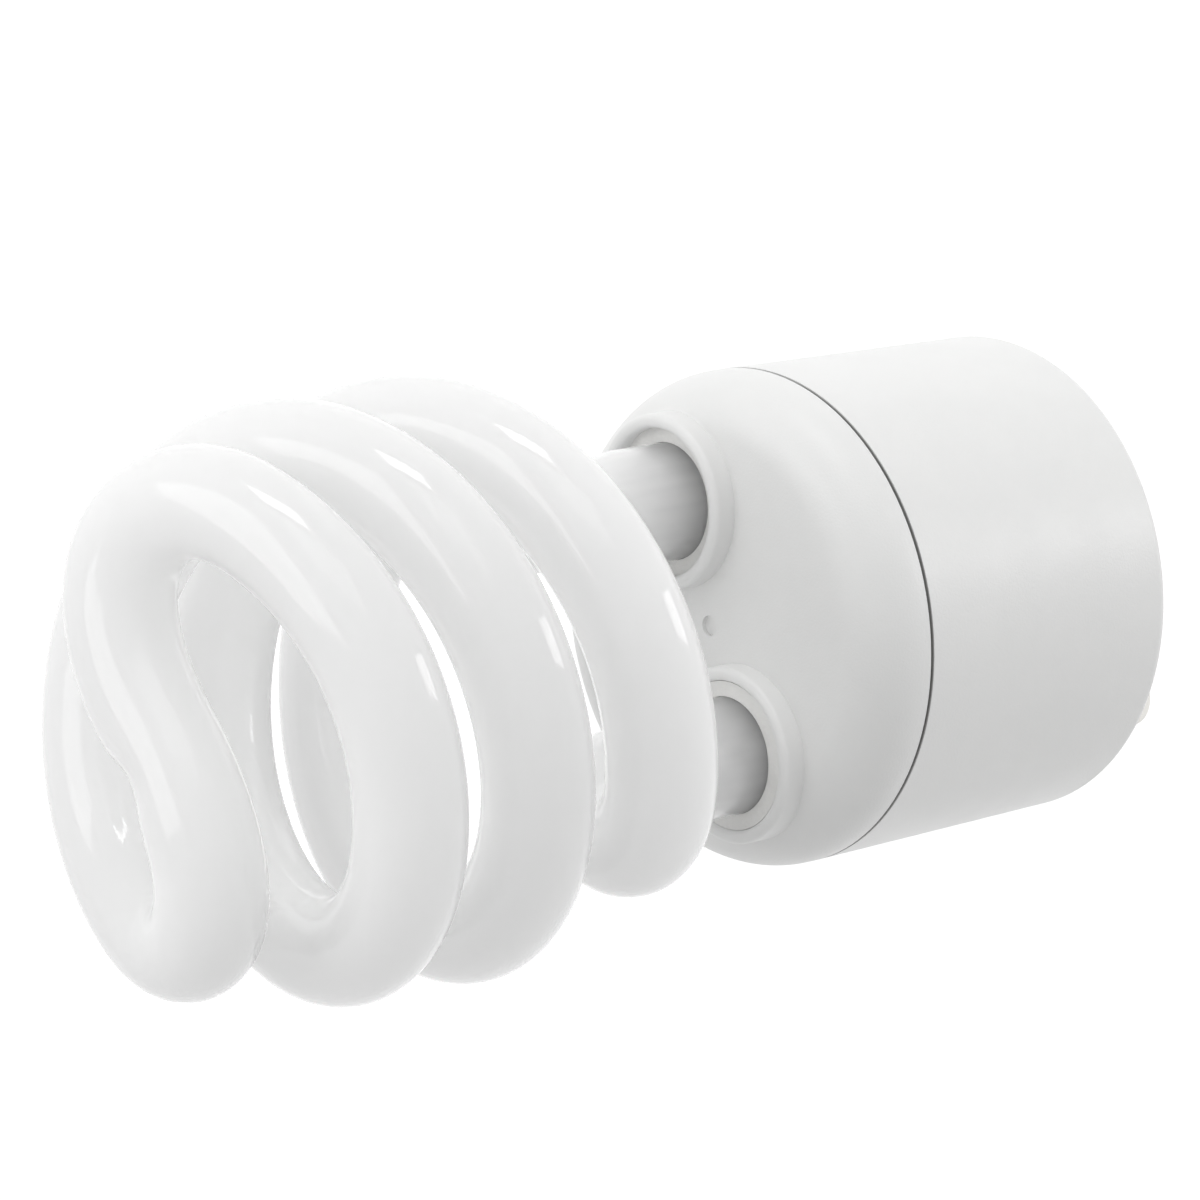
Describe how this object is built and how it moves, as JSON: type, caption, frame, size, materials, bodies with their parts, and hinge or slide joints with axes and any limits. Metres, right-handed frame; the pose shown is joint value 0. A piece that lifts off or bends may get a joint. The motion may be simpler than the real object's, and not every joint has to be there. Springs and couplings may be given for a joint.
{
  "type": "spiral energy saving lamp",
  "caption": "Compact fluorescent lamp with a double spiral glass tube on a round plastic ballast housing, held by a two-pin twist-lock base.",
  "frame": {"origin": "centre of the flat seat under the base, midway between the two contact pins", "axes": "+Z along the lamp's axis from the seat towards the glass spiral; the contact pins and the legs of the tube stand on the Y axis"},
  "size_m": [0.0458, 0.0454, 0.0981],
  "materials": {
    "white_glass": "gloss white coating seen through clear glass",
    "white_plastic": "satin white flame resistant plastic with a fine moulded grain",
    "brass": "turned and lightly tarnished",
    "cement": "dull cast cement",
    "board": "plain laminate",
    "ferrite": "dull pressed ferrite",
    "copper_wire": "enamelled winding wire",
    "bobbin": "moulded bobbin plastic",
    "capacitor_sleeve": "shrunk sleeve",
    "dipped_film": "dipped resin",
    "black_epoxy": "moulded epoxy",
    "resistor_body": "lacquered resistor body",
    "tinned_wire": "tinned copper wire"
  },
  "bodies": {
    "root": {"ballast_board": "board", "bulk_capacitor": "capacitor_sleeve", "choke_bobbin": "bobbin", "choke_core_lower": "ferrite", "choke_core_upper": "ferrite", "choke_winding": "copper_wire", "contact_pin_front": "brass", "contact_pin_rear": "brass", "coupling_capacitor": "dipped_film", "diac": "black_epoxy", "drive_toroid": "ferrite", "drive_winding_1": "copper_wire", "drive_winding_2": "copper_wire", "drive_winding_3": "copper_wire", "filament_lead_front_left": "tinned_wire", "filament_lead_front_right": "tinned_wire", "filament_lead_rear_left": "tinned_wire", "filament_lead_rear_right": "tinned_wire", "filter_inductor_core": "ferrite", "filter_inductor_winding": "copper_wire", "inrush_resistor": "resistor_body", "lower_housing": "white_plastic", "pin_lead_front": "tinned_wire", "pin_lead_rear": "tinned_wire", "rectifier_diode_1": "black_epoxy", "rectifier_diode_2": "black_epoxy", "rectifier_diode_3": "black_epoxy", "rectifier_diode_4": "black_epoxy", "resonant_capacitor": "dipped_film", "spiral_tube": "white_glass", "start_resistor": "resistor_body", "transistor_1": "black_epoxy", "transistor_2": "black_epoxy", "tube_cement_front": "cement", "tube_cement_rear": "cement", "upper_cap": "white_plastic"}
  },
  "joints": []
}
